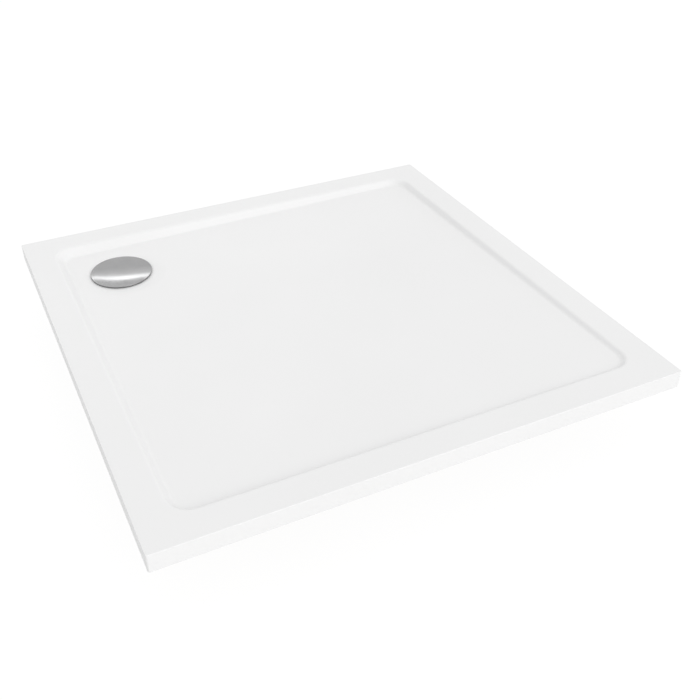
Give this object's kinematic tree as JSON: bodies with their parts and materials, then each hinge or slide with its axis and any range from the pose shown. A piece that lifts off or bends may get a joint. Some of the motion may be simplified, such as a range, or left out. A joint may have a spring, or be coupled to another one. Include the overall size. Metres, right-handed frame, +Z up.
{
  "type": "shower tray",
  "caption": "Square low-profile shower tray with a broad flat rim, a shallow well falling to a corner waste with a domed cover, an odour trap and screw feet.",
  "frame": {"origin": "on the floor under the centre of the square tray", "axes": "+Z up; -Y is the open front side, -X the left side; the waste is in the back left corner"},
  "size_m": [0.9, 0.9, 0.139],
  "materials": {
    "acrylic": "satin",
    "laminate": "matte",
    "chipboard": "matte",
    "zinc_steel": "satin",
    "black_plastic": "matte",
    "white_plastic": "satin",
    "grey_plastic": "satin",
    "rubber": "matte",
    "stainless": "satin",
    "chrome": "polished"
  },
  "bodies": {
    "tray": {"tray_shell": "acrylic", "tray_core": "laminate", "base_board": "chipboard", "socket_screws": "zinc_steel", "upper_seal": "rubber", "lower_seal": "rubber", "waste_flange": "stainless", "flange_screws": "stainless", "trap_body": "white_plastic", "outlet_seal": "rubber", "outlet_nut": "white_plastic", "foot_front_left_socket": "black_plastic", "foot_front_left_nut": "zinc_steel", "foot_front_right_socket": "black_plastic", "foot_front_right_nut": "zinc_steel", "foot_back_right_socket": "black_plastic", "foot_back_right_nut": "zinc_steel", "foot_back_left_socket": "black_plastic", "foot_back_left_nut": "zinc_steel", "foot_centre_socket": "black_plastic", "foot_centre_nut": "zinc_steel"},
    "pad_front_left": {"foot_front_left_pad": "black_plastic"},
    "spindle_front_left": {"foot_front_left_spindle": "zinc_steel"},
    "pad_front_right": {"foot_front_right_pad": "black_plastic"},
    "spindle_front_right": {"foot_front_right_spindle": "zinc_steel"},
    "pad_back_right": {"foot_back_right_pad": "black_plastic"},
    "spindle_back_right": {"foot_back_right_spindle": "zinc_steel"},
    "pad_back_left": {"foot_back_left_pad": "black_plastic"},
    "spindle_back_left": {"foot_back_left_spindle": "zinc_steel"},
    "pad_centre": {"foot_centre_pad": "black_plastic"},
    "spindle_centre": {"foot_centre_spindle": "zinc_steel"},
    "insert": {"odour_insert": "grey_plastic", "insert_seal": "rubber"},
    "cover": {"waste_cover": "chrome", "cover_carrier": "grey_plastic"},
    "outlet": {"outlet_spigot": "white_plastic"}
  },
  "joints": [
    {"name": "foot_front_left_height", "type": "slide", "parent": "tray", "child": "pad_front_left", "axis": [0, 0, 1], "range_m": [-0.012, 0.009]},
    {"name": "foot_front_left_turn", "type": "hinge", "parent": "pad_front_left", "child": "spindle_front_left", "pos_m": [-0.31, -0.31, 0.05], "axis": [0, 0, 1], "range_deg": [-2470, 1852]},
    {"name": "foot_front_right_height", "type": "slide", "parent": "tray", "child": "pad_front_right", "axis": [0, 0, 1], "range_m": [-0.012, 0.009]},
    {"name": "foot_front_right_turn", "type": "hinge", "parent": "pad_front_right", "child": "spindle_front_right", "pos_m": [0.31, -0.31, 0.05], "axis": [0, 0, 1], "range_deg": [-2470, 1852]},
    {"name": "foot_back_right_height", "type": "slide", "parent": "tray", "child": "pad_back_right", "axis": [0, 0, 1], "range_m": [-0.012, 0.009]},
    {"name": "foot_back_right_turn", "type": "hinge", "parent": "pad_back_right", "child": "spindle_back_right", "pos_m": [0.36, 0.36, 0.05], "axis": [0, 0, 1], "range_deg": [-2470, 1852]},
    {"name": "foot_back_left_height", "type": "slide", "parent": "tray", "child": "pad_back_left", "axis": [0, 0, 1], "range_m": [-0.012, 0.009]},
    {"name": "foot_back_left_turn", "type": "hinge", "parent": "pad_back_left", "child": "spindle_back_left", "pos_m": [-0.385, 0.385, 0.05], "axis": [0, 0, 1], "range_deg": [-2470, 1852]},
    {"name": "foot_centre_height", "type": "slide", "parent": "tray", "child": "pad_centre", "axis": [0, 0, 1], "range_m": [-0.012, 0.009]},
    {"name": "foot_centre_turn", "type": "hinge", "parent": "pad_centre", "child": "spindle_centre", "pos_m": [0, 0, 0.05], "axis": [0, 0, 1], "range_deg": [-2470, 1852]},
    {"name": "insert_lift", "type": "slide", "parent": "tray", "child": "insert", "axis": [0, 0, 1], "range_m": [0, 0.12]},
    {"name": "cover_lift", "type": "slide", "parent": "insert", "child": "cover", "axis": [0, 0, 1], "range_m": [0, 0.05]},
    {"name": "outlet_swing", "type": "hinge", "parent": "tray", "child": "outlet", "pos_m": [-0.216, 0.285, 0.072], "axis": [0, 0, 1], "range_deg": [-8, 8]}
  ],
  "couplings": [
    {"joint": "foot_front_left_turn", "follows": "foot_front_left_height", "rad_per_m": 3590.4},
    {"joint": "foot_front_right_turn", "follows": "foot_front_right_height", "rad_per_m": 3590.4},
    {"joint": "foot_back_right_turn", "follows": "foot_back_right_height", "rad_per_m": 3590.4},
    {"joint": "foot_back_left_turn", "follows": "foot_back_left_height", "rad_per_m": 3590.4},
    {"joint": "foot_centre_turn", "follows": "foot_centre_height", "rad_per_m": 3590.4}
  ]
}
